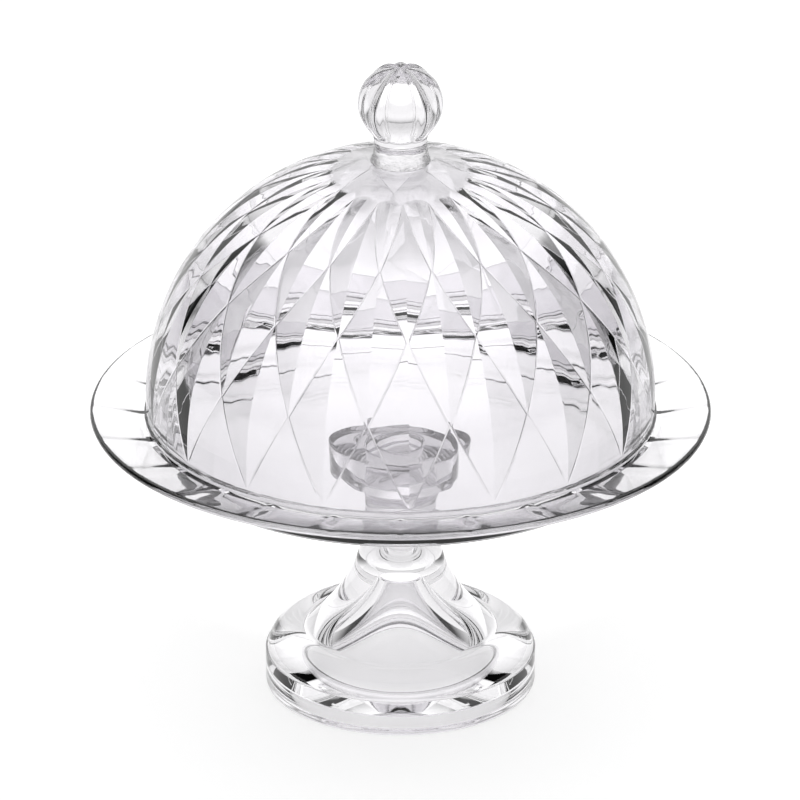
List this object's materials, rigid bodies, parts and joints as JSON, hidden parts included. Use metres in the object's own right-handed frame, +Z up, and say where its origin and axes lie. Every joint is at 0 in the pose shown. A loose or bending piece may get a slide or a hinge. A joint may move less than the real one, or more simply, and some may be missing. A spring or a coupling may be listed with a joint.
{
  "type": "cake stand with dome",
  "caption": "Clear pressed-glass cake stand: flared pedestal, dished fluted plate and a diamond-cut glass dome with a lobed ball knob.",
  "frame": {"origin": "centre of the foot's underside, on the table", "axes": "+Z up along the stand's axis, front of the stand towards -Y"},
  "size_m": [0.3, 0.3, 0.3236],
  "materials": {
    "pedestal_glass": "fire-polished clear pressed glass",
    "plate_glass": "fire-polished clear pressed glass",
    "dome_glass": "diamond-cut clear pressed glass",
    "bond": "clear cured bonding film with small bubbles",
    "knob_glass": "fire-polished clear pressed glass"
  },
  "bodies": {
    "pedestal": {"pedestal": "pedestal_glass"},
    "plate": {"plate": "plate_glass"},
    "cover": {"dome": "dome_glass", "knob_bond": "bond", "knob": "knob_glass"}
  },
  "joints": [
    {"name": "plate_lift", "type": "slide", "parent": "pedestal", "child": "plate", "axis": [0, 0, 1], "range_m": [0, 0.05]},
    {"name": "cover_lift", "type": "slide", "parent": "plate", "child": "cover", "axis": [0, 0, 1], "range_m": [0, 0.18]}
  ]
}
